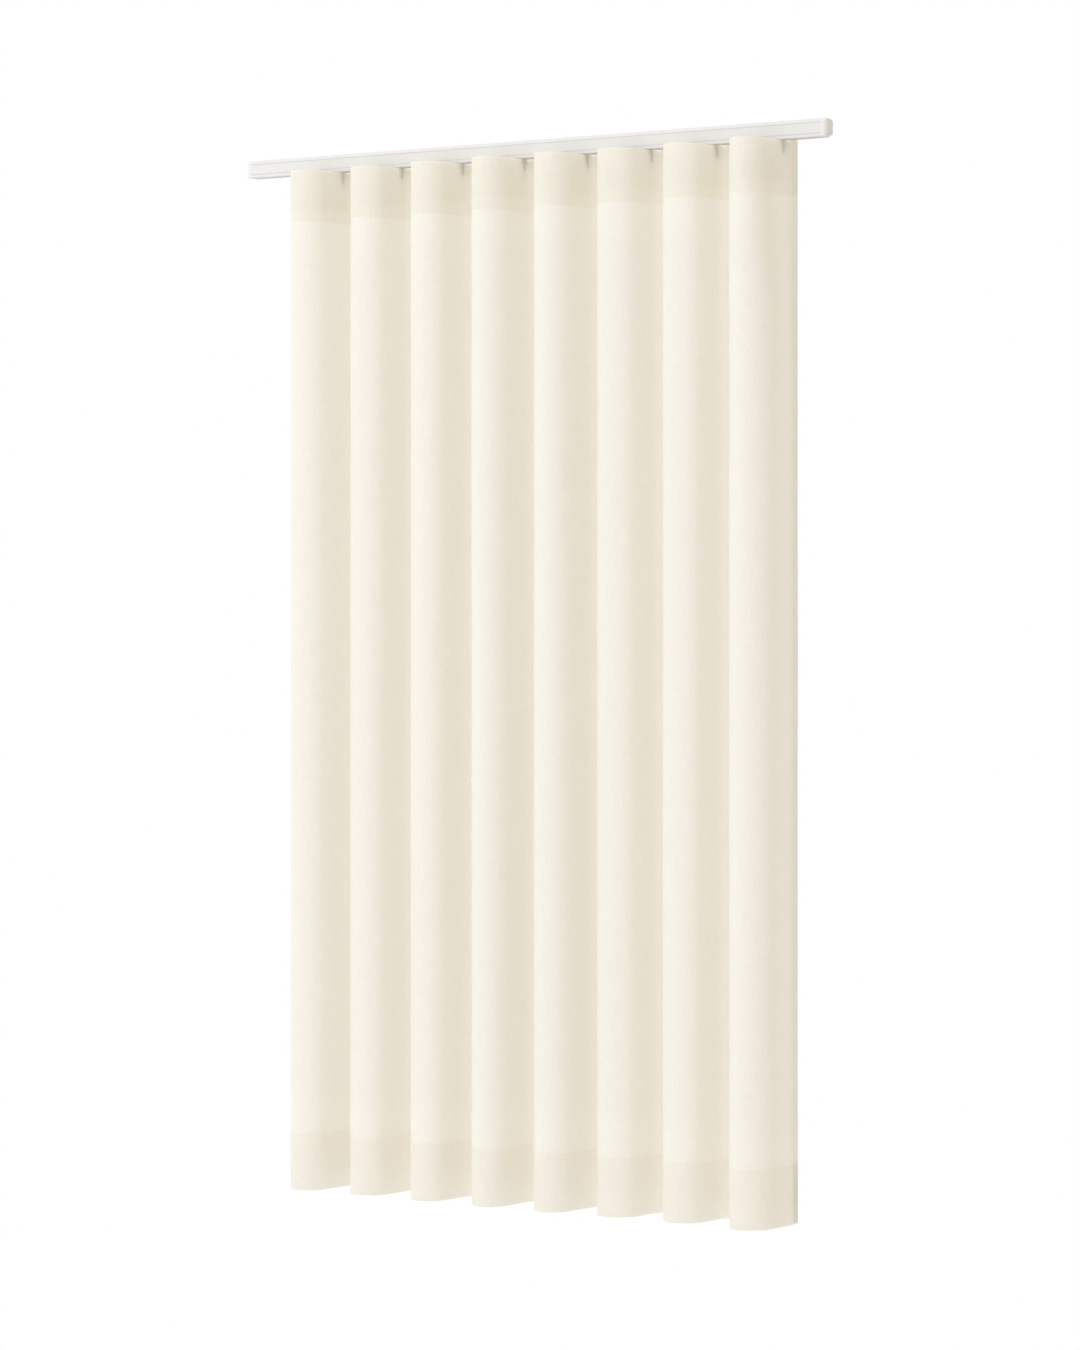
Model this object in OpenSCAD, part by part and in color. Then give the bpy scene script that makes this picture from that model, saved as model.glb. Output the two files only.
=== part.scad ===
// Sheer wave-fold curtain on a ceiling track.
// X runs along the track, -Y faces the room and +Z is up.
// The origin is the middle of the track's top face, where it meets the ceiling.

/* [Track] */
// Track past the left outermost glider, end cap included
left_margin = 176; // [70:1:400]
// Track past the right outermost glider, end cap included
right_margin = 110; // [70:1:400]
// Depth of the track section, front to back
track_depth = 31; // [30:1:44]
// Height of the track section
track_height = 38; // [34:1:50]
// Corner radius of the two upper edges
track_top_r = 11; // [6:0.5:13]
// Corner radius of the two lower edges
track_low_r = 3; // [2.5:0.5:7]
// Wall thickness of the extrusion
track_wall = 1.8; // [1.4:0.1:2.4]
// Distance of the upper shadow lines below the top of the track
line_from_top = 9; // [7:0.5:12]
// Distance of the lower shadow lines above the underside of the track
line_from_low = 7.5; // [5:0.5:10]
// Width of the shadow lines that border the front and back faces
shadow_line_w = 1.2; // [0.5:0.1:1.5]
// Depth of the shadow lines
shadow_line_d = 0.9; // [0.6:0.1:1]

/* [Glider channel] */
// Width of the slot in the underside
slot_w = 7; // [6:0.5:9]
// Inside width of the channel that the gliders run in
channel_w = 17; // [15:0.5:18]
// Inside height of the channel
channel_h = 8; // [7:0.5:11]
// Thickness of the two ribs that make the channel
rib_t = 1.5; // [1.2:0.1:2]
// How far each rib turns in over the gliders
rib_flange = 3; // [2:0.5:4]

/* [Ceiling screws] */
// Distance of the outer screw holes from the ends of the track
screw_inset = 143; // [50:1:200]
// Diameter of the screw holes in the top wall
screw_hole_d = 4.5; // [3.5:0.1:5.5]

/* [End caps] */
// Length of the cap that shows past the extrusion
cap_length = 14; // [12:0.5:20]
// Thickness of the flange that meets the extrusion
cap_flange_t = 2; // [1.5:0.5:3]
// Rounding of the cap's outer rim
cap_rim_r = 8; // [4:0.5:9]
// Length of the plug that pushes into the channel
cap_plug_length = 18; // [12:1:30]
// Clearance round the plug
plug_clearance = 0.15; // [0.1:0.05:0.3]

/* [Curtain] */
// Number of folds that stand forward
fold_count = 8; // [4:1:12]
// Distance between neighbouring gliders, half of one wave
glider_pitch = 80; // [60:2:90]
// Depth of the waves from front crest to back crest
wave_depth = 150; // [120:5:190]
// Distance of the snap studs from the bends of the back folds
stud_from_bend = 5; // [4.5:0.5:20]
// Length of each side edge past the last flank, straight back
edge_return = 48; // [30:1:60]
// Height of the curtain from its top edge to its lower edge
drop = 2178; // [1600:1:2800]
// Height of the turned-down header
header_h = 108; // [90:2:140]
// Height of the lower hem
hem_h = 118; // [80:2:160]
// Thickness of one layer of the cloth
cloth_t = 0.4; // [0.3:0.05:0.6]
// Gap between the track and the curtain's top edge
top_gap = 1; // [0.5:0.5:6]
// Width of the hem along each side edge
side_hem_w = 22; // [8:1:26]

/* [Heading tape] */
// Height of the tape behind the header
tape_h = 76; // [60:1:84]
// Thickness of the tape
tape_t = 0.6; // [0.4:0.1:1]
// Distance of the tape's upper edge below the curtain's top edge
tape_drop = 5; // [3:1:6]
// Room for the sewing thread between the header and the tape
seam_gap = 0.1; // [0.05:0.05:0.2]

/* [Gliders] */
// Length of a glider's head along the track
head_length = 14; // [12:0.5:18]
// Height of a glider's head
head_h = 5.5; // [5:0.25:6.5]
// Corner radius of the head, seen from above
head_r = 3; // [1:0.5:4]
// Side clearance of the head in the channel
head_clearance = 0.5; // [0.3:0.1:0.8]
// Running clearance under the head
head_lift = 0.1; // [0.05:0.05:0.3]
// Clearance of the neck in the slot, each side
neck_clearance = 0.6; // [0.4:0.1:1]
// Thickness of the neck and of the arm
arm_t = 2; // [1.6:0.1:2.6]
// Width of the arm
arm_w = 9; // [8:0.5:12]
// Gap between the track and the arm's shoulders
shoulder_gap = 1; // [0.5:0.25:1.5]
// Distance of the snap socket below the curtain's top edge
socket_drop = 20; // [16:1:28]
// Diameter of the snap socket
socket_d = 5; // [4:0.1:6]

/* [Snap studs] */
// Diameter of the stud's base on the tape
stud_base_d = 9; // [7:0.5:11]
// Thickness of the stud's base
stud_base_t = 0.8; // [0.6:0.1:1.2]
// Clearance of the stud in its socket, and of its base on the tape and the arm
stud_clearance = 0.15; // [0.1:0.05:0.25]
// How far the stud's lip is larger than the socket, all round
stud_lip = 0.3; // [0.2:0.1:0.6]
// Thickness of the stud's lip
stud_lip_t = 0.9; // [0.6:0.1:1.4]

/* [Spacing cord] */
// Diameter of the cord that links the gliders
cord_d = 1.6; // [1.2:0.1:2]
// Clearance of the cord in a glider, all round
cord_clearance = 0.15; // [0.1:0.05:0.3]
// Length of the cord past the outermost gliders
cord_tail = 12; // [10:1:30]

/* [Hidden] */
$fn = 96;
eps = 0.01;
glider_count = 2 * fold_count;
gliders = [1 : glider_count];

curtain_span = (glider_count - 1) * glider_pitch;
track_length = left_margin + curtain_span + right_margin;
extrusion_length = track_length - 2 * cap_length;
screw_x = track_length / 2 - screw_inset;
curtain_x = (left_margin - right_margin) / 2;
channel_floor_z = -track_height + track_wall;

fold_r = glider_pitch / 2;
flank = wave_depth - glider_pitch;
wave_forward = flank / 2 - stud_from_bend;
cloth_face = cloth_t / 2;
header_back = cloth_face + cloth_t;
hem_back = cloth_face + 2 * cloth_t;
tape_front = header_back + seam_gap;
tape_back = tape_front + tape_t;
cloth_top_z = -track_height - top_gap;
cloth_low_z = cloth_top_z - drop;
tape_return = edge_return - side_hem_w - seam_gap;

head_w = channel_w - 2 * head_clearance;
head_z = channel_floor_z + head_lift;
neck_w = slot_w - 2 * neck_clearance;
arm_x = tape_back + stud_base_t + 2 * stud_clearance;
arm_top_z = -track_height - shoulder_gap;
socket_z = cloth_top_z - socket_drop;
cord_z = head_z + head_h / 2;
cord_hole_d = cord_d + 2 * cord_clearance;
stud_post_d = socket_d - 2 * stud_clearance;

function two_digits(k) = k < 10 ? str("0", k) : str(k);
function glider_node(k) = str("glider_", two_digits(k));
function stud_node(k) = str("snap_stud_", two_digits(k));
// Place of a glider along the track
function glider_x(k) = curtain_x + (k - (glider_count + 1) / 2) * glider_pitch;
// Every other glider faces the other way, because the tape is behind the cloth
function turned(k) = k % 2 == 0;
// Middle of a forward fold, measured from the curtain's middle
function fold_x(i) = (i - (fold_count - 1) / 2) * 2 * glider_pitch;

// Outline of the track section, front to back and up, moved in by a wall
module section_outline(inset) {
    d = track_depth - 2 * inset;
    top_r = track_top_r - inset;
    low_r = track_low_r - inset;
    top_z = -inset;
    low_z = -track_height + inset;
    translate([-d / 2, low_z + low_r]) square([d, top_z - top_r - low_z - low_r]);
    translate([-d / 2 + top_r, low_z + low_r]) square([d - 2 * top_r, top_z - low_z - low_r]);
    translate([-d / 2 + low_r, low_z]) square([d - 2 * low_r, top_z - top_r - low_z]);
    for (side = [-1, 1]) {
        translate([side * (d / 2 - top_r), top_z - top_r]) circle(top_r);
        translate([side * (d / 2 - low_r), low_z + low_r]) circle(low_r);
    }
}

// One of the two ribs inside the track, with its flange turned in over the gliders
module channel_rib() {
    translate([channel_w / 2, channel_floor_z - eps]) square([rib_t, channel_h + rib_t + eps]);
    translate([channel_w / 2 - rib_flange, channel_floor_z + channel_h]) square([rib_flange + rib_t, rib_t]);
}

// Narrow grooves along the flat faces, near their upper and lower edges
module shadow_lines() {
    for (side = [-1, 1], z = [-line_from_top, -track_height + line_from_low])
        translate([side * track_depth / 2, z])
            square([2 * shadow_line_d, shadow_line_w], center = true);
}

module track_section() {
    difference() {
        section_outline(0);
        difference() {
            section_outline(track_wall);
            channel_rib();
            mirror([1, 0]) channel_rib();
        }
        translate([-slot_w / 2, -track_height - 1]) square([slot_w, track_wall + 2]);
        shadow_lines();
    }
}

// Lays a section, drawn front to back and up, along the track
module along_track(length) {
    rotate([90, 0, 90]) linear_extrude(length) children();
}

// White aluminium extrusion with an open glider channel below and screw holes above
module track() {
    color([0.94, 0.94, 0.93])
        difference() {
            translate([-extrusion_length / 2, 0, 0]) along_track(extrusion_length) track_section();
            for (x = [-screw_x, 0, screw_x])
                translate([x, 0, -track_wall - 1]) cylinder(d = screw_hole_d, h = track_wall + 2);
        }
}

// Outline of the cap from one side: square at the extrusion, rounded at the rim
module cap_outline(span) {
    translate([0, -span / 2]) square([cap_length - cap_rim_r, span]);
    translate([0, -span / 2 + cap_rim_r]) square([cap_length, span - 2 * cap_rim_r]);
    for (side = [-1, 1])
        translate([cap_length - cap_rim_r, side * (span / 2 - cap_rim_r)]) circle(cap_rim_r);
}

// Face of the cap: the track's section with a round back
module cap_face() {
    back_r = track_height / 2;
    intersection() {
        section_outline(0);
        union() {
            translate([-track_depth / 2, -track_height]) square([track_depth - back_r, track_height]);
            translate([track_depth / 2 - back_r, -back_r]) circle(back_r);
        }
    }
}

// Moulded cap: a flange on the extrusion, a rounded nose, and a plug that stops the gliders
module end_cap() {
    plug_w = channel_w - 2 * plug_clearance;
    plug_h = channel_h - 2 * plug_clearance;
    translate([extrusion_length / 2, 0, 0]) {
        along_track(cap_flange_t) section_outline(0);
        intersection() {
            along_track(cap_length) cap_face();
            translate([0, 0, -track_height]) linear_extrude(track_height)
                cap_outline(track_depth);
            translate([0, track_depth / 2, -track_height / 2]) rotate([90, 0, 0])
                linear_extrude(track_depth) cap_outline(track_height);
        }
        translate([-cap_plug_length, -plug_w / 2, channel_floor_z + plug_clearance])
            cube([cap_plug_length + cap_flange_t, plug_w, plug_h]);
    }
}

module end_cap_right() {
    color([0.93, 0.93, 0.92]) end_cap();
}

module end_cap_left() {
    color([0.93, 0.93, 0.92]) mirror([1, 0, 0]) end_cap();
}

// Head of a glider seen from above, with rounded corners
module head_outline() {
    square([head_length - 2 * head_r, head_w], center = true);
    square([head_length, head_w - 2 * head_r], center = true);
    for (sx = [-1, 1], sy = [-1, 1])
        translate([sx * (head_length / 2 - head_r), sy * (head_w / 2 - head_r)]) circle(head_r);
}

// Arm of a glider from the side: shoulders under the track and a round lower end
module arm_outline() {
    translate([-arm_w / 2, socket_z]) square([arm_w, arm_top_z - socket_z]);
    translate([0, socket_z]) circle(d = arm_w);
    translate([-neck_w / 2, arm_top_z - eps]) square([neck_w, head_z + eps - arm_top_z + eps]);
}

// Moulded glider: head in the channel, neck through the slot, arm with a snap socket
module glider(k) {
    color([0.96, 0.96, 0.95])
        translate([glider_x(k), 0, 0]) mirror([turned(k) ? 1 : 0, 0, 0])
            difference() {
                union() {
                    translate([0, 0, head_z]) linear_extrude(head_h) head_outline();
                    translate([arm_x, 0, 0]) along_track(arm_t) arm_outline();
                }
                translate([arm_x - 1, 0, socket_z]) rotate([0, 90, 0])
                    cylinder(d = socket_d, h = arm_t + 2);
                translate([-head_length, 0, cord_z]) rotate([0, 90, 0])
                    cylinder(d = cord_hole_d, h = 2 * head_length);
            }
}

// Press stud set in the heading tape, its lip snapped through the glider's arm
module snap_stud(k) {
    base_x = tape_back + stud_clearance;
    lip_x = arm_x + arm_t + stud_clearance;
    color([0.9, 0.9, 0.88])
        translate([glider_x(k), 0, socket_z]) mirror([turned(k) ? 1 : 0, 0, 0])
            rotate([0, 90, 0]) {
                translate([0, 0, base_x]) cylinder(d = stud_base_d, h = stud_base_t);
                translate([0, 0, base_x]) cylinder(d = stud_post_d, h = lip_x - base_x + eps);
                translate([0, 0, lip_x]) cylinder(d = socket_d + 2 * stud_lip, h = stud_lip_t);
            }
}

// Cord that runs through every glider and keeps the waves even
module spacing_cord() {
    length = curtain_span + head_length + 2 * cord_tail;
    color([0.95, 0.95, 0.92])
        translate([curtain_x - length / 2, 0, cord_z]) rotate([0, 90, 0])
            cylinder(d = cord_d, h = length);
}

// Half ring that a band follows round a fold, from a radius to a larger one
module half_ring(r_in, r_out) {
    intersection() {
        difference() {
            circle(r_out);
            circle(r_in);
        }
        translate([-2 * r_out, 0]) square([4 * r_out, 2 * r_out]);
    }
}

// A forward fold in plan with its two flanks, as a band between two distances
// behind the middle of the front layer
module forward_fold(near, far) {
    translate([0, -flank / 2]) mirror([0, 1]) half_ring(fold_r - far, fold_r - near);
    for (side = [0, 1]) mirror([side, 0])
        translate([-fold_r + near, -flank / 2]) square([far - near, flank]);
}

// A height of the band at both side edges, between two distances past the last flanks
module side_edges(near, far, low_z, height, from, to) {
    for (side = [0, 1])
        translate([curtain_x, flank / 2 - wave_forward, low_z]) mirror([side, 0, 0])
            translate([fold_x(0) - fold_r + near, from, 0]) cube([far - near, to - from, height]);
}

// A height of the whole wave, hung below the track, with its side edges straight back
module wave_panel(near, far, low_z, height, edge) {
    translate([curtain_x, -wave_forward, low_z]) {
        for (i = [0 : fold_count - 1])
            translate([fold_x(i), 0, 0]) linear_extrude(height) forward_fold(near, far);
        for (i = [0 : fold_count - 2])
            translate([fold_x(i) + glider_pitch, flank / 2, 0]) linear_extrude(height)
                half_ring(fold_r + near, fold_r + far);
    }
    side_edges(near, far, low_z, height, 0, edge);
}

// A height of the cloth: its own layers, and the folded hem behind each side edge
module cloth_panel(far, low_z, height) {
    wave_panel(-cloth_face, far, low_z, height, edge_return);
    side_edges(far, far + 2 * cloth_t, low_z, height, edge_return - side_hem_w, edge_return);
}

// Woven tape sewn behind the header, which carries the snap studs
module heading_tape() {
    color([0.95, 0.95, 0.93])
        wave_panel(tape_front, tape_back, cloth_top_z - tape_drop - tape_h, tape_h, tape_return);
}

// One sheet of sheer cloth: double header, single middle, folded lower and side hems
module curtain_cloth() {
    color([0.96, 0.94, 0.89]) {
        cloth_panel(header_back, cloth_top_z - header_h, header_h);
        cloth_panel(cloth_face, cloth_low_z + hem_h, drop - header_h - hem_h);
        cloth_panel(hem_back, cloth_low_z, hem_h);
    }
}

track();
end_cap_left();
end_cap_right();
for (k = gliders) glider(k);
for (k = gliders) snap_stud(k);
spacing_cord();
heading_tape();
curtain_cloth();
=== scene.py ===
import math

import bpy
import numpy as np
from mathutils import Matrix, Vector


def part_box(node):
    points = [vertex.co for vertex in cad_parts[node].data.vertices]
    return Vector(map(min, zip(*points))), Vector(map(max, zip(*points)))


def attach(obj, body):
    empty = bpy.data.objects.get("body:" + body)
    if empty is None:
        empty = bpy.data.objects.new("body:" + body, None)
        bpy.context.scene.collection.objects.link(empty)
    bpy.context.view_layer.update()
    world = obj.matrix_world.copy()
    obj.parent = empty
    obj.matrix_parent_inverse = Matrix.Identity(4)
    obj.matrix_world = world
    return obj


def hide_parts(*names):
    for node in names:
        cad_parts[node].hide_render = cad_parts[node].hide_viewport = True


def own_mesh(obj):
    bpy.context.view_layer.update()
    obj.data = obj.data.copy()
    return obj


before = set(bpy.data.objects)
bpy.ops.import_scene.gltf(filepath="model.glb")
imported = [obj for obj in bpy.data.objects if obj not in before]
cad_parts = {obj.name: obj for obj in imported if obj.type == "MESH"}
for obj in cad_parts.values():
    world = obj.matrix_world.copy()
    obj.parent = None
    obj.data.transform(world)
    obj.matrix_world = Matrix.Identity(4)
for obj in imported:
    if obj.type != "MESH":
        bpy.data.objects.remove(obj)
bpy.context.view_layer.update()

# ---------------------------------------------------------------- camera
# The camera stands in front of the curtain and well to its right, level and at half the curtain's
# height, with a long lens, so that the folds overlap a little and all uprights stay upright.
IMAGE_HEIGHT_PX = 1350
FOCAL_PX = 4600
CAMERA_TURN = math.radians(35.49)
CAMERA_PLACE = (5.596, -7.803, -1.0260)
HORIZON_ROW_PX = 632.3

lens = bpy.data.cameras.new("camera")
lens.sensor_fit = "VERTICAL"
lens.sensor_height = 36
lens.lens = FOCAL_PX / IMAGE_HEIGHT_PX * lens.sensor_height
lens.shift_y = -(IMAGE_HEIGHT_PX / 2 - HORIZON_ROW_PX) / IMAGE_HEIGHT_PX
lens.clip_end = 100
lens.dof.use_dof = False
camera = bpy.data.objects.new("camera", lens)
camera.location = CAMERA_PLACE
camera.rotation_euler = (math.pi / 2, 0, CAMERA_TURN)
bpy.context.scene.collection.objects.link(camera)
bpy.context.scene.camera = camera

# ---------------------------------------------------------------- track
# One aluminium extrusion, open below for the gliders and screwed to the ceiling through its top.
# It is powder coated white, which leaves a fine orange peel on the metal. Two fine grooves run
# along its front. The grooves and the underside have painted shade: a darker colour.
COAT_WHITE = (0.768, 0.760, 0.742)
# Painted shade: the grooves and the underside are drawn at this share of the coat's colour.
PAINTED_SHADE_TONE = 0.90
LINE_FROM_TOP = 0.009
LINE_FROM_LOW = 0.0075
LINE_WIDTH = 0.0012
LINE_DEPTH = 0.0009
BROAD_GRAIN = 12
GRAIN_STRENGTH = 0.6


class Wire:
    """An output in a node tree. Sums and products of wires and numbers add Math nodes to it."""

    def __init__(self, tree, socket=None):
        self.tree = tree
        self.socket = socket

    def node(self, kind, settings, sockets, out=0):
        """Adds any node: its settings first, then the values or links of its sockets."""
        made = self.tree.nodes.new(kind)
        for name, value in settings.items():
            setattr(made, name, value)
        for key, value in sockets.items():
            if isinstance(value, Wire):
                self.tree.links.new(value.socket, made.inputs[key])
            else:
                made.inputs[key].default_value = value
        return Wire(self.tree, made.outputs[out] if made.outputs else None)

    def port(self, out):
        """Another output of the same node."""
        return Wire(self.tree, self.socket.node.outputs[out])

    def maths(self, operation, *values):
        return self.node("ShaderNodeMath", {"operation": operation}, dict(enumerate(values)))

    def __add__(self, other):
        return self.maths("ADD", self, other)

    def __radd__(self, other):
        return self.maths("ADD", other, self)

    def __sub__(self, other):
        return self.maths("SUBTRACT", self, other)

    def __rsub__(self, other):
        return self.maths("SUBTRACT", other, self)

    def __mul__(self, other):
        return self.maths("MULTIPLY", self, other)

    def __rmul__(self, other):
        return self.maths("MULTIPLY", other, self)


def new_finish(name):
    """A material with an empty node tree, and a wire to build it from."""
    finish = bpy.data.materials.new(name)
    finish.use_nodes = True
    finish.node_tree.nodes.clear()
    return finish, Wire(finish.node_tree)


def show(wire, surface):
    """Ends a material's tree in this shader."""
    wire.node("ShaderNodeOutputMaterial", {}, {"Surface": surface})


def rgba(colour, level=1.0):
    return tuple(channel * level for channel in colour) + (1.0,)


# ShaderNodeMix keeps its colour sockets behind the ones for numbers and vectors.
MIX_FACTOR, MIX_A, MIX_B, MIX_RESULT = 0, 6, 7, 2


def tone(wire, colour, amount, share):
    """A colour that goes lighter and darker by a share of itself, as amount goes from 0 to 1."""
    return wire.node(
        "ShaderNodeMix",
        {"data_type": "RGBA"},
        {MIX_FACTOR: amount, MIX_A: rgba(colour, 1 - share), MIX_B: rgba(colour, 1 + share)},
        MIX_RESULT,
    )


def grain(wire, place, scale, detail=2.0):
    """Even noise from 0 to 1 at a number of grains a metre."""
    return wire.node(
        "ShaderNodeTexNoise", {}, {"Vector": place, "Scale": scale, "Detail": detail}, "Fac"
    )


def blend_colour(wire, amount, first, second):
    """The first colour where amount is 0 and the second where it is 1."""
    return wire.node(
        "ShaderNodeMix",
        {"data_type": "RGBA"},
        {MIX_FACTOR: amount, MIX_A: first, MIX_B: second},
        MIX_RESULT,
    )


def hard_finish(
    name, colour, *, shade, roughness, spread, grain_scale, relief, gloss, lines=None
):
    """A coated or moulded surface: faint uneven tone, uneven gloss and a fine grain in relief."""
    finish, wire = new_finish(name)
    place = wire.node("ShaderNodeTexCoord", {}, {}, "Object")
    fine = grain(wire, place, grain_scale)
    broad = grain(wire, place, grain_scale / BROAD_GRAIN)
    base = tone(wire, colour, broad, shade)
    # Where a mask of lines is given, painted shade darkens the colour there.
    if lines is not None:
        base = blend_colour(wire, lines(wire, place), base, rgba(colour, PAINTED_SHADE_TONE))
    bump = wire.node(
        "ShaderNodeBump", {}, {"Strength": GRAIN_STRENGTH, "Distance": relief, "Height": fine}
    )
    show(
        wire,
        wire.node(
            "ShaderNodeBsdfPrincipled",
            {},
            {
                "Base Color": base,
                "Roughness": roughness + spread * (broad - 0.5),
                "Specular IOR Level": gloss,
                "Normal": bump,
            },
        ),
    )
    return finish


def dress(node, finish):
    """Gives a CAD node its finish."""
    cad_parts[node].data.materials.clear()
    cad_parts[node].data.materials.append(finish)


track_low, track_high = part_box("track")


def painted_groove_shade(wire, place):
    """Painted shade: 1 in the two grooves along the front and on the underside, 0 elsewhere."""
    parts = wire.node("ShaderNodeSeparateXYZ", {}, {"Vector": place}, "X")
    front = wire.maths("LESS_THAN", parts.port("Y"), track_low.y + 2 * LINE_DEPTH)
    inside = wire.maths("GREATER_THAN", parts.port("Y"), track_low.y + 0.1 * LINE_DEPTH)
    near = [
        wire.maths("COMPARE", parts.port("Z"), height, LINE_WIDTH)
        for height in (track_high.z - LINE_FROM_TOP, track_low.z + LINE_FROM_LOW)
    ]
    grooves = front * inside * wire.maths("MAXIMUM", *near)
    underside = wire.maths("LESS_THAN", parts.port("Z"), track_low.z + LINE_DEPTH)
    return wire.maths("MAXIMUM", grooves, underside)


coat = hard_finish(
    "white powder coat",
    COAT_WHITE,
    shade=0.012,
    roughness=0.42,
    spread=0.10,
    grain_scale=650,
    relief=0.00004,
    gloss=0.4,
    lines=painted_groove_shade,
)
dress("track", coat)

# ---------------------------------------------------------------- end caps
# Two caps moulded in white plastic close the ends of the track. Each has a plug that pushes into
# the channel, holds by friction and stops the cord's end.
CAP_WHITE = (0.80, 0.795, 0.785)
cap_finish = hard_finish(
    "white cap plastic",
    CAP_WHITE,
    shade=0.012,
    roughness=0.48,
    spread=0.10,
    grain_scale=1800,
    relief=0.00002,
    gloss=0.4,
)
dress("end_cap_left", cap_finish)
dress("end_cap_right", cap_finish)

# ---------------------------------------------------------------- gliders
# Sixteen gliders moulded in white acetal. The head runs in the track's channel, the neck comes
# down through the slot, and the arm has a round socket for the press stud of the heading tape.
ACETAL_WHITE = (0.86, 0.86, 0.84)
acetal = hard_finish(
    "glider acetal",
    ACETAL_WHITE,
    shade=0.01,
    roughness=0.32,
    spread=0.08,
    grain_scale=2500,
    relief=0.000012,
    gloss=0.5,
)
glider_nodes = sorted(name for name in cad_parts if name.startswith("glider_"))
for name in glider_nodes:
    dress(name, acetal)
glider_x = [(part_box(name)[0].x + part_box(name)[1].x) / 2 for name in glider_nodes]
pitch = (glider_x[-1] - glider_x[0]) / (len(glider_x) - 1)

# ---------------------------------------------------------------- spacing cord
# A braided polyester cord runs through the heads of all gliders and keeps them a wave apart.
# Its ends are heat sealed, and it gathers up inside the track as the curtain is drawn.
CORD_SIDES = 16
CORD_STEP = 0.0008
BRAID_STRANDS = 4
BRAID_TURN = math.pi / 2
BRAID_RELIEF = 0.10
SEALED_RINGS = 1.5
SEALED_LEAST = 0.02
CORD_CREAM = (0.80, 0.78, 0.72)
LEAD_BODY = "glider_01"


def sheet_mesh(name, points, uv=None, close_rows=False, close_columns=False):
    """A smooth mesh from a grid of points, rows by columns, with an optional UV in metres."""
    rows, columns = points.shape[:2]
    mesh = bpy.data.meshes.new(name)
    row = np.arange(rows if close_rows else rows - 1)
    column = np.arange(columns if close_columns else columns - 1)
    r, c = np.meshgrid(row, column, indexing="ij")
    r1, c1 = (r + 1) % rows, (c + 1) % columns
    corners = [r * columns + c, r * columns + c1, r1 * columns + c1, r1 * columns + c]
    corners = np.stack(corners, -1)
    mesh.from_pydata(points.reshape(-1, 3).tolist(), [], corners.reshape(-1, 4).tolist())
    if uv is not None:
        layer = mesh.uv_layers.new(name="flat")
        layer.data.foreach_set("uv", uv.reshape(-1, 2)[corners.reshape(-1)].reshape(-1))
    mesh.polygons.foreach_set("use_smooth", np.ones(len(mesh.polygons), dtype=bool))
    mesh.update()
    piece = bpy.data.objects.new(name, mesh)
    bpy.context.scene.collection.objects.link(piece)
    return piece


def hang(piece, finish=None):
    """A soft piece that goes with the first glider, with a mesh of its own."""
    if finish is not None:
        piece.data.materials.clear()
        piece.data.materials.append(finish)
    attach(piece, LEAD_BODY)
    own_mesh(piece)


cord_low, cord_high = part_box("spacing_cord")
cord_radius = (cord_high.z - cord_low.z) / 2
cord_rings = int((cord_high.x - cord_low.x) / CORD_STEP)
ring, side = np.meshgrid(np.arange(cord_rings + 1), np.arange(CORD_SIDES), indexing="ij")
turn = side * 2 * math.pi / CORD_SIDES
braid = np.cos(BRAID_STRANDS * turn) * np.cos(BRAID_TURN * ring)
from_end = np.minimum(ring, cord_rings - ring)
end_taper = np.sqrt(np.clip(from_end / SEALED_RINGS, SEALED_LEAST, 1))
radius = cord_radius * end_taper * (1 - BRAID_RELIEF * (0.5 - 0.5 * braid))
cord_points = np.stack(
    [
        cord_low.x + ring / cord_rings * (cord_high.x - cord_low.x),
        (cord_low.y + cord_high.y) / 2 + radius * np.cos(turn),
        (cord_low.z + cord_high.z) / 2 + radius * np.sin(turn),
    ],
    -1,
)
cord_uv = np.stack([ring * CORD_STEP, turn * cord_radius], -1)
cord = sheet_mesh("spacing_braid", cord_points, cord_uv, close_columns=True)

cord_finish, wire = new_finish("braided cord")
flat = wire.node("ShaderNodeTexCoord", {}, {}, "UV")
strand = grain(wire, flat, scale=2600)
bump = wire.node("ShaderNodeBump", {}, {"Strength": 0.5, "Distance": 0.0001, "Height": strand})
show(
    wire,
    wire.node(
        "ShaderNodeBsdfPrincipled",
        {},
        {
            "Base Color": tone(wire, CORD_CREAM, strand, share=0.08),
            "Roughness": 0.62 + 0.2 * (strand - 0.5),
            "Sheen Weight": 0.2,
            "Normal": bump,
        },
    ),
)
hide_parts("spacing_cord")
hang(cord, cord_finish)

# ---------------------------------------------------------------- press studs
# Sixteen clear polycarbonate studs are set in the heading tape. The lip of each one snaps through
# the socket of its glider and can be pulled out again to wash the curtain.
STUD_CLEAR = (0.86, 0.87, 0.86)
stud_finish, wire = new_finish("clear stud plastic")
place = wire.node("ShaderNodeTexCoord", {}, {}, "Object")
haze = grain(wire, place, scale=900)
show(
    wire,
    wire.node(
        "ShaderNodeBsdfPrincipled",
        {},
        {
            "Base Color": tone(wire, STUD_CLEAR, haze, share=0.02),
            "Roughness": 0.14 + 0.12 * haze,
            "IOR": 1.58,
            "Transmission Weight": 0.6,
        },
    ),
)
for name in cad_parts:
    if name.startswith("snap_stud_"):
        dress(name, stud_finish)

# ---------------------------------------------------------------- heading tape
# A thin woven polyester tape, nearly clear, is sewn flat behind the header along both of its edges.
# It carries the studs, two woven pocket bands and a corded edge above and below.
TAPE_WHITE = (0.92, 0.91, 0.88)
TAPE_SHOW_THROUGH = 0.04
TAPE_ALPHA = 0.08
TAPE_END_GAP = 0.004
LAYER = 0.0004
WAVE_DEPTH = 0.150
EDGE_RETURN = 0.048
ARC_STEPS = 24
FLANK_STEPS = 7
EDGE_STEPS = 8

bend = pitch / 2
flank = WAVE_DEPTH - pitch
half_arc = math.pi * bend
cloth_low, cloth_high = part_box("curtain_cloth")
top_z, low_z = cloth_high.z, cloth_low.z
wave_middle = cloth_low.y + WAVE_DEPTH / 2 + LAYER / 2


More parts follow.
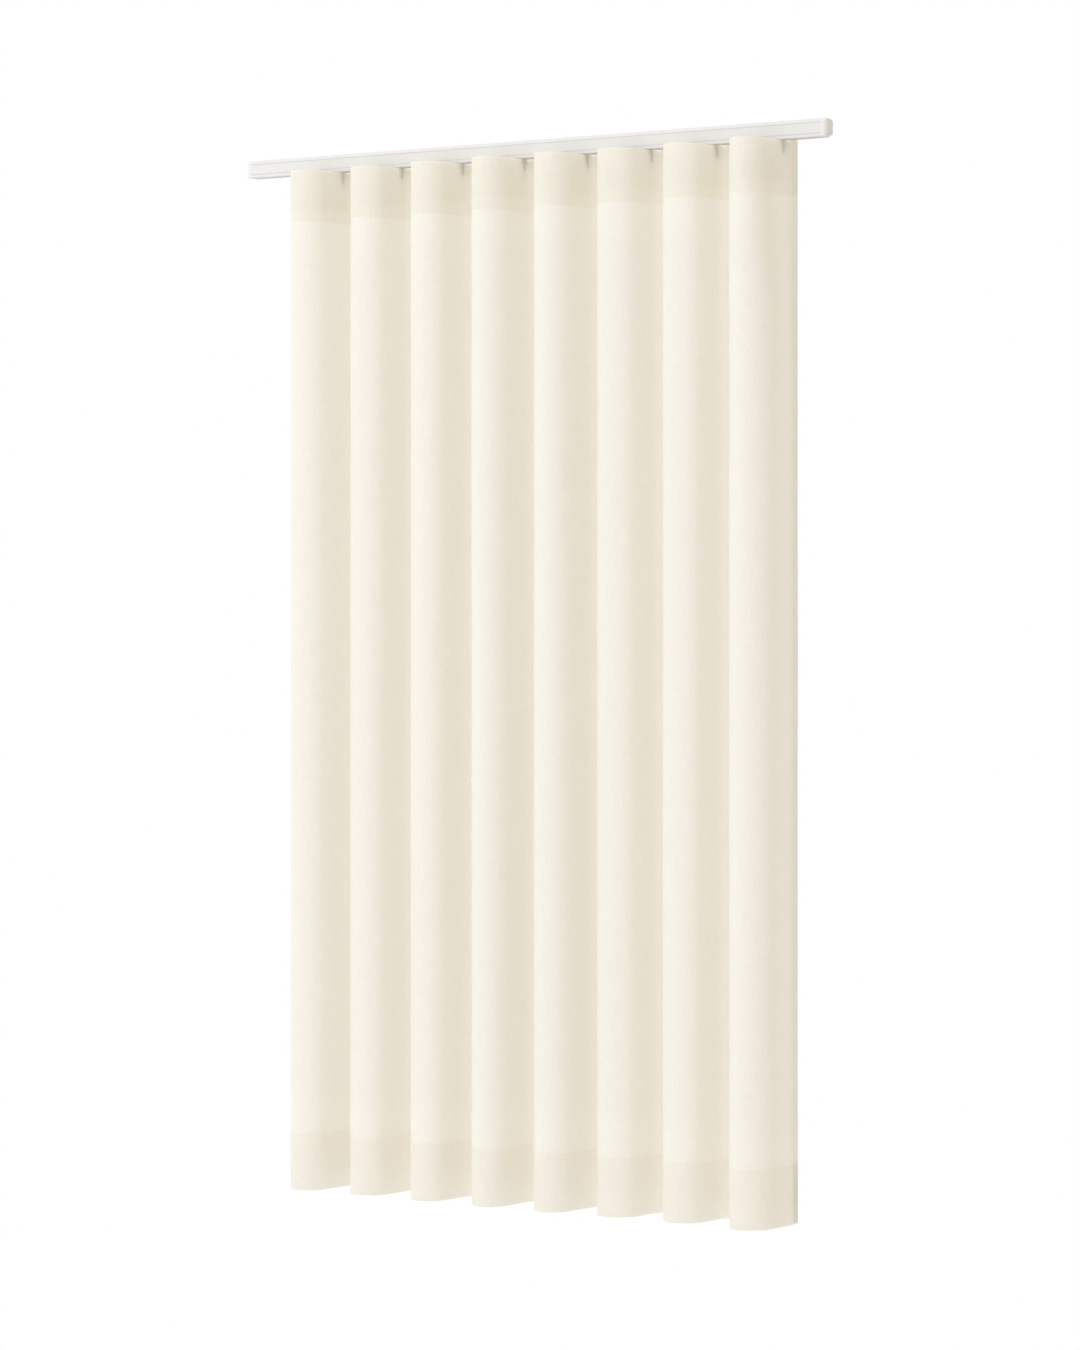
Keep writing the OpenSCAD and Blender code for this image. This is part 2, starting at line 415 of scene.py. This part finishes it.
def wave_stretches():
    """The wave in plan from left to right: kind, place, start, length and columns of each part."""
    last = len(glider_x) - 1
    stretches = []
    for index, x in enumerate(glider_x):
        inward = index % 2 == 0
        edge = EDGE_RETURN if index in (0, last) else 0
        steps = FLANK_STEPS + (EDGE_STEPS if edge else 0)
        start = flank / 2 + edge if inward else -flank / 2
        stretches.append(("in" if inward else "out", x, start, flank + edge, steps))
        if index < last:
            kind = "front" if inward else "back"
            stretches.append((kind, x + bend, math.pi, half_arc, ARC_STEPS))
    starts = np.cumsum([0] + [length for _, _, _, length, _ in stretches])
    return stretches, starts


stretches, starts = wave_stretches()
cloth_width = starts[-1]


def wave_columns():
    """Places along the cloth at which the wave is cut into columns."""
    places = [0.0]
    for (_, _, _, length, steps), start in zip(stretches, starts):
        places.extend(start + length * np.arange(1, steps + 1) / steps)
    return np.array(places)


def wave_plan(s):
    """Plan places of the wave and its direction to the back, for lengths along the cloth."""
    s = np.asarray(s, float)
    index = np.clip(np.searchsorted(starts, s, side="right") - 1, 0, len(stretches) - 1)
    plan = np.zeros(s.shape + (2,))
    back = np.zeros(s.shape + (2,))
    for number, (kind, x, start, _, _) in enumerate(stretches):
        here = index == number
        along = s[here] - starts[number]
        if kind in ("in", "out"):
            sign = -1 if kind == "in" else 1
            plan[here] = np.stack([np.full_like(along, x), start + sign * along], -1)
            back[here] = (-sign, 0)
        else:
            angle = start + (along if kind == "front" else -along) / bend
            ray = np.stack([np.cos(angle), np.sin(angle)], -1)
            centre = np.array([x, -flank / 2 if kind == "front" else flank / 2])
            plan[here] = centre + bend * ray
            back[here] = -ray if kind == "front" else ray
    return plan + (0, wave_middle), back


# Each fold hangs a little aside of the even wave, in millimetres right and back at its crest.
FRONT_ASIDE = ((-1.5, -0.9), (-0.7, 3.1), (2.3, -0.2), (5.2, -7.4))
FRONT_ASIDE += ((2.0, -3.6), (-9.0, 10.3), (-5.2, 8.7), (6.9, -9.9))
RIPPLE = 0.0004
RIPPLE_WIDTH = 0.055
RIPPLE_HEIGHT = 0.26
RIPPLE_FROM = 0.10
RIPPLE_OVER = 0.25
RIPPLE_SEED = 7

front_crests = [
    start + length / 2
    for (kind, _, _, length, _), start in zip(stretches, starts)
    if kind == "front"
]
ripple_shape = (int(cloth_width / RIPPLE_WIDTH) + 4, int((top_z - low_z) / RIPPLE_HEIGHT) + 4)
ripple_lattice = np.random.default_rng(RIPPLE_SEED).uniform(-1, 1, ripple_shape)


def smooth_step(x):
    """0 up to x = 0, 1 from x = 1, and a soft change between."""
    x = np.clip(x, 0, 1)
    return x * x * (3 - 2 * x)


def ripple(s, z):
    """Smooth uneven waves of the hanging cloth, from -1 to 1, none at the header."""
    a = np.clip(s, 0, cloth_width) / RIPPLE_WIDTH
    b = np.clip(top_z - z, 0, top_z - low_z) / RIPPLE_HEIGHT
    i, j = a.astype(int), b.astype(int)
    u, v = smooth_step(a - i), smooth_step(b - j)
    low = ripple_lattice[i, j] * (1 - u) + ripple_lattice[i + 1, j] * u
    high = ripple_lattice[i, j + 1] * (1 - u) + ripple_lattice[i + 1, j + 1] * u
    return (low * (1 - v) + high * v) * smooth_step((top_z - z - RIPPLE_FROM) / RIPPLE_OVER)


# Below the header the last flank hangs further out, and its free edge turns in again. Each swing
# begins at a length past the last crest and is full over the next length.
LOOSE_FROM = 0.10
LOOSE_OVER = 0.35
SWING_OUT = 0.0108
SWING_OUT_OVER = 0.075
SWING_IN = 0.0050
SWING_IN_FROM = 0.145
SWING_IN_OVER = 0.035
SWING_FORWARD = 0.009
SWING_FORWARD_FROM = 0.08
SWING_FORWARD_OVER = 0.10
# Behind the track the header stands a little higher than under it.
BACK_RISE = 0.005
BACK_RISE_OVER = 0.02
BACK_RISE_DOWN = 0.25
TRACK_CLEAR = 0.018


def hung(s, z, depth):
    """Places of the hung cloth: a length along it, a height, and a depth behind its front."""
    s, z, depth = np.broadcast_arrays(np.asarray(s, float), z, depth)
    plan, back = wave_plan(s)
    aside = np.zeros(s.shape + (2,))
    for crest, (right, rear) in zip(front_crests, FRONT_ASIDE):
        reach = np.clip(np.abs(s - crest) / ((half_arc + flank) / 2), 0, 1)
        aside += np.cos(reach * math.pi / 2)[..., None] ** 2 * np.array([right, rear]) / 1000
    past = s - front_crests[-1]
    loose = smooth_step((top_z - z - LOOSE_FROM) / LOOSE_OVER)
    swing_x = SWING_OUT * smooth_step(past / SWING_OUT_OVER)
    swing_x -= SWING_IN * smooth_step((past - SWING_IN_FROM) / SWING_IN_OVER)
    swing_y = -SWING_FORWARD * smooth_step((past - SWING_FORWARD_FROM) / SWING_FORWARD_OVER)
    aside += np.stack([swing_x * loose, swing_y * loose], -1)
    flat_place = plan + aside + back * (depth + RIPPLE * ripple(s, z))[..., None]
    rise = BACK_RISE * smooth_step((plan[..., 1] - TRACK_CLEAR) / BACK_RISE_OVER)
    height = z + rise * (1 - smooth_step((top_z - z) / BACK_RISE_DOWN))
    return np.concatenate([flat_place, height[..., None]], -1)


tape_low, tape_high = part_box("heading_tape")
TAPE_FRONT = 0.0007
TAPE_BACK = 0.0012
CORDED_RELIEF = 0.0004
CORDED_EDGE = ((0.0, 0.0), (0.004, 0.5), (0.02, 1.0), (0.04, 0.6), (0.05, 0.0))
POCKET = 0.0006
POCKET_BANDS = ((0.38, 0.56), (0.70, 0.88))
POCKET_START = 0.02
POCKET_END = 0.01


def tape_section():
    """Outline of the tape, as heights and depths: flat in front, edges and pockets behind."""
    tall = tape_high.z - tape_low.z
    edge = [(share * tall, TAPE_BACK + CORDED_RELIEF * lift) for share, lift in CORDED_EDGE]
    outline = [(tape_high.z - inset, depth) for inset, depth in edge]
    for start, end in POCKET_BANDS:
        outline += [(tape_high.z - start * tall, TAPE_BACK)]
        outline += [(tape_high.z - (start + POCKET_START) * tall, TAPE_BACK + POCKET)]
        outline += [(tape_high.z - (end - POCKET_END) * tall, TAPE_BACK + POCKET)]
        outline += [(tape_high.z - end * tall, TAPE_BACK)]
    outline += [(tape_low.z + inset, depth) for inset, depth in reversed(edge)]
    outline += [(tape_low.z + share * tall, TAPE_FRONT) for share in np.linspace(0, 1, 5)]
    return np.array(outline)


SIDE_HEM = 0.022
columns = wave_columns()
tape_start = SIDE_HEM + TAPE_END_GAP
taped = (columns > tape_start) & (columns < cloth_width - tape_start)
tape_columns = np.concatenate([[tape_start], columns[taped], [cloth_width - tape_start]])
section = tape_section()
tape_points = hung(tape_columns[None, :], section[:, 0][:, None], section[:, 1][:, None])
around = np.concatenate([[0], np.cumsum(np.hypot(*np.diff(section, axis=0).T))])
tape_uv = np.stack(np.broadcast_arrays(tape_columns[None, :], around[:, None]), -1)
tape = sheet_mesh("stud_tape", tape_points, tape_uv, close_rows=True)


def woven(wire, flat, warp, weft):
    """Relief of a plain weave, from 0 to 1, with a number of threads a metre each way."""
    parts = wire.node("ShaderNodeSeparateXYZ", {}, {"Vector": flat}, "X")
    across = wire.maths("SINE", parts * (2 * math.pi * warp))
    up = wire.maths("SINE", parts.port("Y") * (2 * math.pi * weft))
    return 0.5 + 0.25 * (across + up)


tape_finish, wire = new_finish("woven tape")
flat = wire.node("ShaderNodeTexCoord", {}, {}, "UV")
weave = woven(wire, flat, warp=900, weft=1400)
yarn = grain(wire, flat, scale=500)
bump = wire.node("ShaderNodeBump", {}, {"Strength": 0.5, "Distance": 0.0002, "Height": weave})
tape_colour = tone(wire, TAPE_WHITE, 0.5 * weave + 0.5 * yarn, share=0.05)
solid = wire.node(
    "ShaderNodeBsdfPrincipled",
    {},
    {
        "Base Color": tape_colour,
        "Roughness": 0.7 + 0.15 * (yarn - 0.5),
        "Specular IOR Level": 0.3,
        "Sheen Weight": 0.1,
        "Alpha": TAPE_ALPHA,
        "Normal": bump,
    },
)
through = wire.node("ShaderNodeBsdfTranslucent", {}, {"Color": rgba(TAPE_WHITE), "Normal": bump})
show(wire, wire.node("ShaderNodeMixShader", {}, {0: TAPE_SHOW_THROUGH, 1: solid, 2: through}))
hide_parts("heading_tape")
hang(tape, tape_finish)
tape_flat = (cloth_width - 2 * tape_start, tape_high.z - tape_low.z)

# ---------------------------------------------------------------- curtain cloth
# One sheet of cream linen-look sheer. Its top is turned down behind as a header, its lower edge is
# turned up twice as a deep hem, and both sides have a double hem. The tape holds it up.
HEADER = 0.110
LOW_HEM = 0.121
ROW_STEP = 0.030
FOLD_STEPS = 4
TURNED_ROWS = 5
TURN_ROOM = 0.002
CUT_INSET = 0.0008
CROWDED_OVER = 0.003


def side_hem_columns():
    """Columns of the double hem at the left edge, as places along the cloth and depths."""
    inner, outer = LAYER, 2 * LAYER
    turns = np.arange(1, FOLD_STEPS) / FOLD_STEPS * math.pi
    r = (outer - inner) / 2
    path = [(CUT_INSET, inner), (SIDE_HEM / 2, inner), (SIDE_HEM - r, inner)]
    path += [(SIDE_HEM - r + r * math.sin(t), inner + r - r * math.cos(t)) for t in turns]
    path += [(SIDE_HEM - r, outer), (SIDE_HEM / 2, outer), (outer / 2, outer)]
    r = outer / 2
    path += [(r - r * math.sin(t), r + r * math.cos(t)) for t in turns]
    path += [(r, 0.0)]
    return np.array(path)


left_hem = side_hem_columns()
right_hem = left_hem[::-1] * (-1, 1) + (cloth_width, 0)
past_fold = 1.5 * left_hem[-1, 0]
clear = (columns > past_fold) & (columns < cloth_width - past_fold)
middle = np.stack([columns[clear], np.zeros(clear.sum())], -1)
across = np.concatenate([left_hem, middle, right_hem])
flat_across = np.concatenate([[0], np.cumsum(np.hypot(*np.diff(across, axis=0).T))])

# Where a side hem is inside the header or the lower hem, the turned layers lie further back.
edge_distance = np.minimum(across[:, 0], cloth_width - across[:, 0])
crowded = 1 - smooth_step((edge_distance - SIDE_HEM) / CROWDED_OVER)
header_depth = LAYER * (1 + 4 * crowded)
hem_inner_depth = LAYER * (1 + 2 * crowded)
hem_outer_depth = LAYER * (2 + 6 * crowded)

half_turn = np.arange(FOLD_STEPS + 1) / FOLD_STEPS
turned_rows = np.linspace(0, 1, TURNED_ROWS + 1)
cloth_rows = []


def add_row(height, depth, lean):
    """One row of the cloth: heights and depths of its columns, and which way its back looks."""
    raised = height + across[:, 1] * math.sin(lean)
    cloth_rows.append((raised, depth + across[:, 1] * math.cos(lean)))


even = np.ones(len(across))
# The turned part of the header, from its cut edge up, and the fold along the top.
for share in turned_rows[:-1]:
    height = top_z - HEADER + share * (HEADER - TURN_ROOM)
    add_row(height * even, header_depth, -math.pi)
for share in half_turn:
    lean = -math.pi * (1 - share)
    r = header_depth / 2
    add_row(top_z - r - r * math.sin(lean), r * (1 - math.cos(lean)), lean)
# The single cloth of the front, from the top down, and the fold along the bottom.
middle_count = round((top_z - low_z) / ROW_STEP)
for share in np.arange(1, middle_count) / middle_count:
    add_row((top_z + share * (low_z - top_z)) * even, 0 * even, 0)
for share in half_turn:
    lean = math.pi * share
    r = hem_outer_depth / 2
    add_row(low_z + r - r * math.sin(lean), r * (1 - math.cos(lean)), lean)
# The outer layer of the hem, its upper fold, and the inner layer down to the cut edge.
for share in turned_rows[1:-1]:
    height = low_z + TURN_ROOM + share * (LOW_HEM - 2 * TURN_ROOM)
    add_row(height * even, hem_outer_depth, math.pi)
for share in half_turn:
    lean = math.pi * (1 + share)
    r = (hem_outer_depth - hem_inner_depth) / 2
    height = low_z + LOW_HEM - r - r * math.sin(lean)
    add_row(height, hem_inner_depth + r - r * math.cos(lean), lean)
for share in turned_rows[1:]:
    height = low_z + LOW_HEM - TURN_ROOM - share * (LOW_HEM - 3 * TURN_ROOM)
    add_row(height * even, hem_inner_depth, 2 * math.pi)

heights = np.array([height for height, _ in cloth_rows])
depths = np.array([depth for _, depth in cloth_rows])
mid_column = len(across) // 2
steps = np.hypot(np.diff(heights[:, mid_column]), np.diff(depths[:, mid_column]))
flat_up = np.concatenate([[0], np.cumsum(steps)])
cloth_points = hung(across[:, 0][None, :], heights, depths)
cloth_uv = np.stack(np.broadcast_arrays(flat_across[None, :], flat_up[:, None]), -1)
cloth = sheet_mesh("curtain_panel", cloth_points, cloth_uv)

# Painted light: the header over the tape and the single cloth beside the header and the hem are
# lighter, to make up for shade there. The turned layers are nearly clear, so that layers don't
# darken each other.
SHEER_CREAM = (0.915, 0.915, 0.893)
# Painted shade: the warmer header and hem colours stand in for light their doubled layers hold
# back.
HEADER_SHADED_CREAM = (0.918, 0.900, 0.842)
OVER_TAPE_PAINTED_LIGHT = (0.962, 0.945, 0.868)
OVER_TAPE_FADE = 0.06
BESIDE_BANDS_PAINTED_LIGHT = (0.945, 0.947, 0.920)
BESIDE_HEADER = 0.10
BESIDE_HEM = 0.12
HEM_SHADED_CREAM = (0.930, 0.915, 0.865)
# Painted shade: the cloth darkens over the side hems and a little beyond them.
SIDE_PAINTED_SHADE = (0.93, 0.925, 0.91)
SIDE_FADE_FROM = 2.6 * SIDE_HEM
SIDE_FADE_TO = 0.4 * SIDE_HEM
SIDE_DENSE = 0.35
THROUGH_CREAM = (0.995, 0.945, 0.850)
SHOW_THROUGH = 0.38
TURNED_ALPHA = 0.06
THREAD_TONE = 0.26
WARP_SLUBS, WEFT_SLUBS, FINE_SLUBS = 0.30, 0.16, 0.54

sheer, wire = new_finish("linen sheer")
flat = wire.node("ShaderNodeTexCoord", {}, {}, "UV")


def slubs(wire, flat, across_scale, up_scale):
    """Thick and thin places along the threads, from 0 to 1, as noise drawn out one way."""
    scale = (across_scale, up_scale, 1)
    stretched = wire.node("ShaderNodeMapping", {}, {"Vector": flat, "Scale": scale})
    return grain(wire, stretched, scale=1.0, detail=3.0)


weave = woven(wire, flat, warp=1500, weft=1400)
warp_slubs = slubs(wire, flat, across_scale=420, up_scale=26)
weft_slubs = slubs(wire, flat, across_scale=30, up_scale=420)
fine_slubs = slubs(wire, flat, across_scale=360, up_scale=330)
thread = WARP_SLUBS * warp_slubs + WEFT_SLUBS * weft_slubs + FINE_SLUBS * fine_slubs
sideways = wire.node("ShaderNodeSeparateXYZ", {}, {"Vector": flat}, "X")
down = sideways.port("Y")
inwards = wire.maths("MINIMUM", sideways, float(flat_across[-1]) - sideways)
tall = top_z - low_z
turned_side = float(flat_across[len(left_hem) - 1])
header_end = 2 * HEADER
hem_start = HEADER + tall - LOW_HEM


def soft_change(wire, value, none_at, full_at):
    """0 where the value is the first one given and 1 where it is the second, soft between."""
    return wire.node(
        "ShaderNodeMapRange",
        {"interpolation_type": "SMOOTHSTEP"},
        {"Value": value, "From Min": none_at, "From Max": full_at},
        "Result",
    )


in_header = wire.maths("LESS_THAN", down, header_end)
in_hem = wire.maths("GREATER_THAN", down, hem_start)
in_side = soft_change(wire, inwards, turned_side + SIDE_FADE_FROM, turned_side + SIDE_FADE_TO)
# Masks of painted light: over the tape, and beside the header and the hem.
painted_light_over_tape = soft_change(wire, down, header_end, header_end - OVER_TAPE_FADE)
painted_light_beside = wire.maths(
    "MAXIMUM",
    soft_change(wire, down, header_end + BESIDE_HEADER, header_end),
    soft_change(wire, down, hem_start - BESIDE_HEM, hem_start),
)
turned_top = wire.maths("LESS_THAN", down, HEADER)
turned_low = wire.maths("GREATER_THAN", down, HEADER + tall)
turned_in = wire.maths("LESS_THAN", inwards, turned_side)
turned = wire.maths("MAXIMUM", wire.maths("MAXIMUM", turned_top, turned_low), turned_in)
single_colour = blend_colour(
    wire,
    painted_light_beside,
    tone(wire, SHEER_CREAM, thread, THREAD_TONE),
    tone(wire, BESIDE_BANDS_PAINTED_LIGHT, thread, THREAD_TONE),
)
header_colour = blend_colour(
    wire,
    painted_light_over_tape,
    tone(wire, HEADER_SHADED_CREAM, thread, THREAD_TONE),
    tone(wire, OVER_TAPE_PAINTED_LIGHT, thread, THREAD_TONE),
)
hem_colour = tone(wire, HEM_SHADED_CREAM, thread, THREAD_TONE)
cloth_colour = blend_colour(wire, in_header, single_colour, header_colour)
cloth_colour = blend_colour(wire, in_hem, cloth_colour, hem_colour)
# Painted shade towards each side edge.
cloth_colour = wire.node(
    "ShaderNodeMix",
    {"data_type": "RGBA", "blend_type": "MULTIPLY"},
    {MIX_FACTOR: in_side, MIX_A: cloth_colour, MIX_B: rgba(SIDE_PAINTED_SHADE)},
    MIX_RESULT,
)
relief = 0.35 * weave + 0.65 * thread
bump = wire.node("ShaderNodeBump", {}, {"Strength": 0.35, "Distance": 0.0004, "Height": relief})
solid = wire.node(
    "ShaderNodeBsdfPrincipled",
    {},
    {
        "Base Color": cloth_colour,
        "Roughness": 0.86 + 0.1 * (thread - 0.5),
        "Specular IOR Level": 0.2,
        "Sheen Weight": 0.08,
        "Sheen Roughness": 0.5,
        "Alpha": 1 - (1 - TURNED_ALPHA) * turned,
        "Normal": bump,
    },
)
through = wire.node(
    "ShaderNodeBsdfTranslucent", {}, {"Color": rgba(THROUGH_CREAM), "Normal": bump}
)
seen_through = SHOW_THROUGH * (1 - wire.maths("MAXIMUM", turned, SIDE_DENSE * in_side))
show(wire, wire.node("ShaderNodeMixShader", {}, {0: seen_through, 1: solid, 2: through}))
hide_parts("curtain_cloth")
hang(cloth, sheer)

# ---------------------------------------------------------------- stitching
# Cream polyester thread in plain lockstitch: the tape's two edges and the header's edge, the upper
# line of the lower hem, and both side hems. A stitch shows on the front and on the back.
THREAD_CREAM = (0.90, 0.865, 0.775)
STITCH_PITCH = 0.0040
STITCH_LENGTH = 0.0031
THREAD_RADIUS = 0.00018
STITCH_SIZES = {"Pitch": STITCH_PITCH, "Length": STITCH_LENGTH, "Radius": THREAD_RADIUS}
TAPE_SEAM_INSET = 0.002
HEADER_SEAM_INSET = 0.004
HEM_SEAM_INSET = 0.003
SIDE_SEAM_INSET = 0.0015
SIDE_SEAM_ENDS = 0.004

thread_finish, wire = new_finish("sewing thread")
place = wire.node("ShaderNodeTexCoord", {}, {}, "Object")
twist = grain(wire, place, scale=3000)
show(
    wire,
    wire.node(
        "ShaderNodeBsdfPrincipled",
        {},
        {
            "Base Color": tone(wire, THREAD_CREAM, twist, share=0.05),
            "Roughness": 0.5 + 0.2 * (twist - 0.5),
            "Sheen Weight": 0.1,
        },
    ),
)

stitch_tree = bpy.data.node_groups.new("stitch rows", "GeometryNodeTree")
ports = stitch_tree.interface
ports.new_socket("Geometry", in_out="INPUT", socket_type="NodeSocketGeometry")
stitch_inputs = {
    size: ports.new_socket(size, in_out="INPUT", socket_type="NodeSocketFloat").identifier
    for size in STITCH_SIZES
}
ports.new_socket("Geometry", in_out="OUTPUT", socket_type="NodeSocketGeometry")
wire = Wire(stitch_tree)
given = wire.node("NodeGroupInput", {}, {}, "Geometry")
seam_curve = wire.node("GeometryNodeMeshToCurve", {}, {"Mesh": given})
stops = wire.node(
    "GeometryNodeResampleCurve",
    {"mode": "LENGTH"},
    {"Curve": seam_curve, "Length": given.port("Pitch")},
)
along_seam = wire.node(
    "FunctionNodeAlignRotationToVector",
    {"axis": "X"},
    {"Vector": wire.node("GeometryNodeInputTangent", {}, {})},
)
stitch = wire.node("GeometryNodeMeshUVSphere", {}, {"Segments": 6, "Rings": 4, "Radius": 1.0})
stitch_size = wire.node(
    "ShaderNodeCombineXYZ",
    {},
    {"X": 0.5 * given.port("Length"), "Y": given.port("Radius"), "Z": given.port("Radius")},
)
placed = wire.node(
    "GeometryNodeInstanceOnPoints",
    {},
    {"Points": stops, "Instance": stitch, "Rotation": along_seam, "Scale": stitch_size},
)
real = wire.node("GeometryNodeRealizeInstances", {}, {"Geometry": placed})
smooth = wire.node("GeometryNodeSetShadeSmooth", {}, {"Geometry": real})
finished = wire.node(
    "GeometryNodeSetMaterial", {}, {"Geometry": smooth, "Material": thread_finish}
)
wire.node("NodeGroupOutput", {}, {"Geometry": finished})


def sew(name, lines):
    """Rows of stitches along lines of places, as one plain mesh."""
    corners, edges = [], []
    for line in lines:
        first = len(corners)
        corners.extend(line.tolist())
        edges.extend((first + i, first + i + 1) for i in range(len(line) - 1))
    mesh = bpy.data.meshes.new(name + "_line")
    mesh.from_pydata(corners, edges, [])
    guide = bpy.data.objects.new(name + "_line", mesh)
    bpy.context.scene.collection.objects.link(guide)
    stitch_rows = guide.modifiers.new("stitch rows", "NODES")
    stitch_rows.node_group = stitch_tree
    for size, value in STITCH_SIZES.items():
        stitch_rows[stitch_inputs[size]] = value
    evaluated = guide.evaluated_get(bpy.context.evaluated_depsgraph_get())
    sewn = bpy.data.objects.new(name, bpy.data.meshes.new_from_object(evaluated))
    sewn.data.name = name
    bpy.data.objects.remove(guide)
    bpy.context.scene.collection.objects.link(sewn)
    hang(sewn)
    return sewn


THREAD_PROUD = LAYER / 2 + 0.5 * THREAD_RADIUS
seam_columns = columns[(columns > SIDE_HEM) & (columns < cloth_width - SIDE_HEM)]


def level_seam(drop, back_depth):
    """A seam at one height below the top: its front line and its back line."""
    height = top_z - drop
    return [hung(seam_columns, height, -THREAD_PROUD), hung(seam_columns, height, back_depth)]


tape_top_drop = top_z - tape_high.z
tape_low_drop = top_z - tape_low.z
tape_face = TAPE_BACK + CORDED_RELIEF
hem_face = 2 * LAYER + THREAD_PROUD
header_seams = level_seam(tape_top_drop + TAPE_SEAM_INSET, tape_face)
header_seams += level_seam(tape_low_drop - TAPE_SEAM_INSET, tape_face)
header_seams += level_seam(HEADER - HEADER_SEAM_INSET, LAYER + THREAD_PROUD)
header_stitches = sew("header_stitching", header_seams)
hem_stitches = sew("hem_stitching", level_seam(tall - LOW_HEM + HEM_SEAM_INSET, hem_face))

seam_heights = np.arange(low_z + SIDE_SEAM_ENDS, top_z - SIDE_SEAM_ENDS, ROW_STEP / 2)
side_seam = SIDE_HEM - SIDE_SEAM_INSET
side_seams = [
    hung(along, seam_heights, depth)
    for along in (side_seam, cloth_width - side_seam)
    for depth in (-THREAD_PROUD, hem_face)
]
side_stitches = sew("side_stitching", side_seams)

# ---------------------------------------------------------------- studio
# A pale floor lies a metre below the curtain and fades into a white room. The room's light is
# brightest on the left, and weaker and warmer at the back right. One large soft lamp stands in
# front and a little to the left.
FLOOR_DROP = 1.0
FLOOR_REACH = 4.0
FLOOR_FADE_FROM = 1.2
FLOOR_FADE_TO = 0.97 * FLOOR_REACH
FLOOR_PALE = (0.86, 0.86, 0.86)
FRONT_LEFT = (1.18, 1.18, 1.18)
FRONT_RIGHT = (0.88, 0.86, 0.86)
BACK_LEFT = (1.23, 1.23, 1.23)
BACK_RIGHT = (0.57, 0.50, 0.33)
ROOM_RISE = 0.12
ROOM_SOFT = 0.35
LAMP_POWER = 25
LAMP_SIZE = 3.0
LAMP_AWAY = 5.0
LAMP_TURN = math.radians(-25)
LAMP_RISE = math.radians(22)

floor_x, floor_y = np.meshgrid((-FLOOR_REACH, FLOOR_REACH), (-FLOOR_REACH, FLOOR_REACH))
floor_points = np.stack([floor_x, floor_y, np.full(floor_x.shape, low_z - FLOOR_DROP)], -1)
floor = sheet_mesh("floor", floor_points)
floor_finish, wire = new_finish("pale floor")
place = wire.node("ShaderNodeTexCoord", {}, {}, "Object")
level_place = wire.node(
    "ShaderNodeVectorMath", {"operation": "MULTIPLY"}, {0: place, 1: (1, 1, 0)}
)
away = wire.node("ShaderNodeVectorMath", {"operation": "LENGTH"}, {0: level_place}, "Value")
fade = soft_change(wire, away, FLOOR_FADE_FROM, FLOOR_FADE_TO)
pale = wire.node("ShaderNodeBsdfDiffuse", {}, {"Color": rgba(FLOOR_PALE)})
white = wire.node("ShaderNodeEmission", {}, {"Strength": 1.0})
to_camera = wire.node("ShaderNodeLightPath", {}, {}, "Is Camera Ray")
show(wire, wire.node("ShaderNodeMixShader", {}, {0: fade * to_camera, 1: pale, 2: white}))
floor.data.materials.append(floor_finish)

room = bpy.data.worlds.new("room")
room.use_nodes = True
room.node_tree.nodes.clear()
wire = Wire(room.node_tree)
# The camera, gloss and clear plastic see plain white, and the walls below light all the rest.
path = wire.node("ShaderNodeLightPath", {}, {}, "Is Camera Ray")
seen = wire.maths("MAXIMUM", path.port("Is Glossy Ray"), path.port("Is Transmission Ray"))
seen = wire.maths("MAXIMUM", path, seen * (1 - path.port("Is Diffuse Ray")))
towards = wire.node("ShaderNodeTexCoord", {}, {}, "Generated")
right = wire.node("ShaderNodeSeparateXYZ", {}, {"Vector": towards}, "X")
rightwards = soft_change(wire, right, -ROOM_SOFT, ROOM_SOFT)
backwards = soft_change(wire, right.port("Y"), -ROOM_SOFT, ROOM_SOFT)
front_walls = blend_colour(wire, rightwards, rgba(FRONT_LEFT), rgba(FRONT_RIGHT))
back_walls = blend_colour(wire, rightwards, rgba(BACK_LEFT), rgba(BACK_RIGHT))
walls = blend_colour(wire, backwards, front_walls, back_walls)
strength = 1 + ROOM_RISE * right.port("Z")
lit = wire.node("ShaderNodeBackground", {}, {"Color": walls, "Strength": strength})
plain_white = wire.node("ShaderNodeBackground", {}, {"Color": rgba((1, 1, 1)), "Strength": 1.0})
surroundings = wire.node("ShaderNodeMixShader", {}, {0: seen, 1: lit, 2: plain_white})
wire.node("ShaderNodeOutputWorld", {}, {"Surface": surroundings})
bpy.context.scene.world = room

lamp_light = bpy.data.lights.new("soft lamp", "AREA")
lamp_light.energy = LAMP_POWER
lamp_light.size = LAMP_SIZE
lamp = bpy.data.objects.new("soft lamp", lamp_light)
lamp.location = (
    LAMP_AWAY * math.cos(LAMP_RISE) * math.sin(LAMP_TURN),
    -LAMP_AWAY * math.cos(LAMP_RISE) * math.cos(LAMP_TURN),
    (top_z + low_z) / 2 + LAMP_AWAY * math.sin(LAMP_RISE),
)
lamp.rotation_euler = (math.pi / 2 - LAMP_RISE, 0, LAMP_TURN)
bpy.context.scene.collection.objects.link(lamp)

bpy.context.scene.view_settings.view_transform = "Standard"
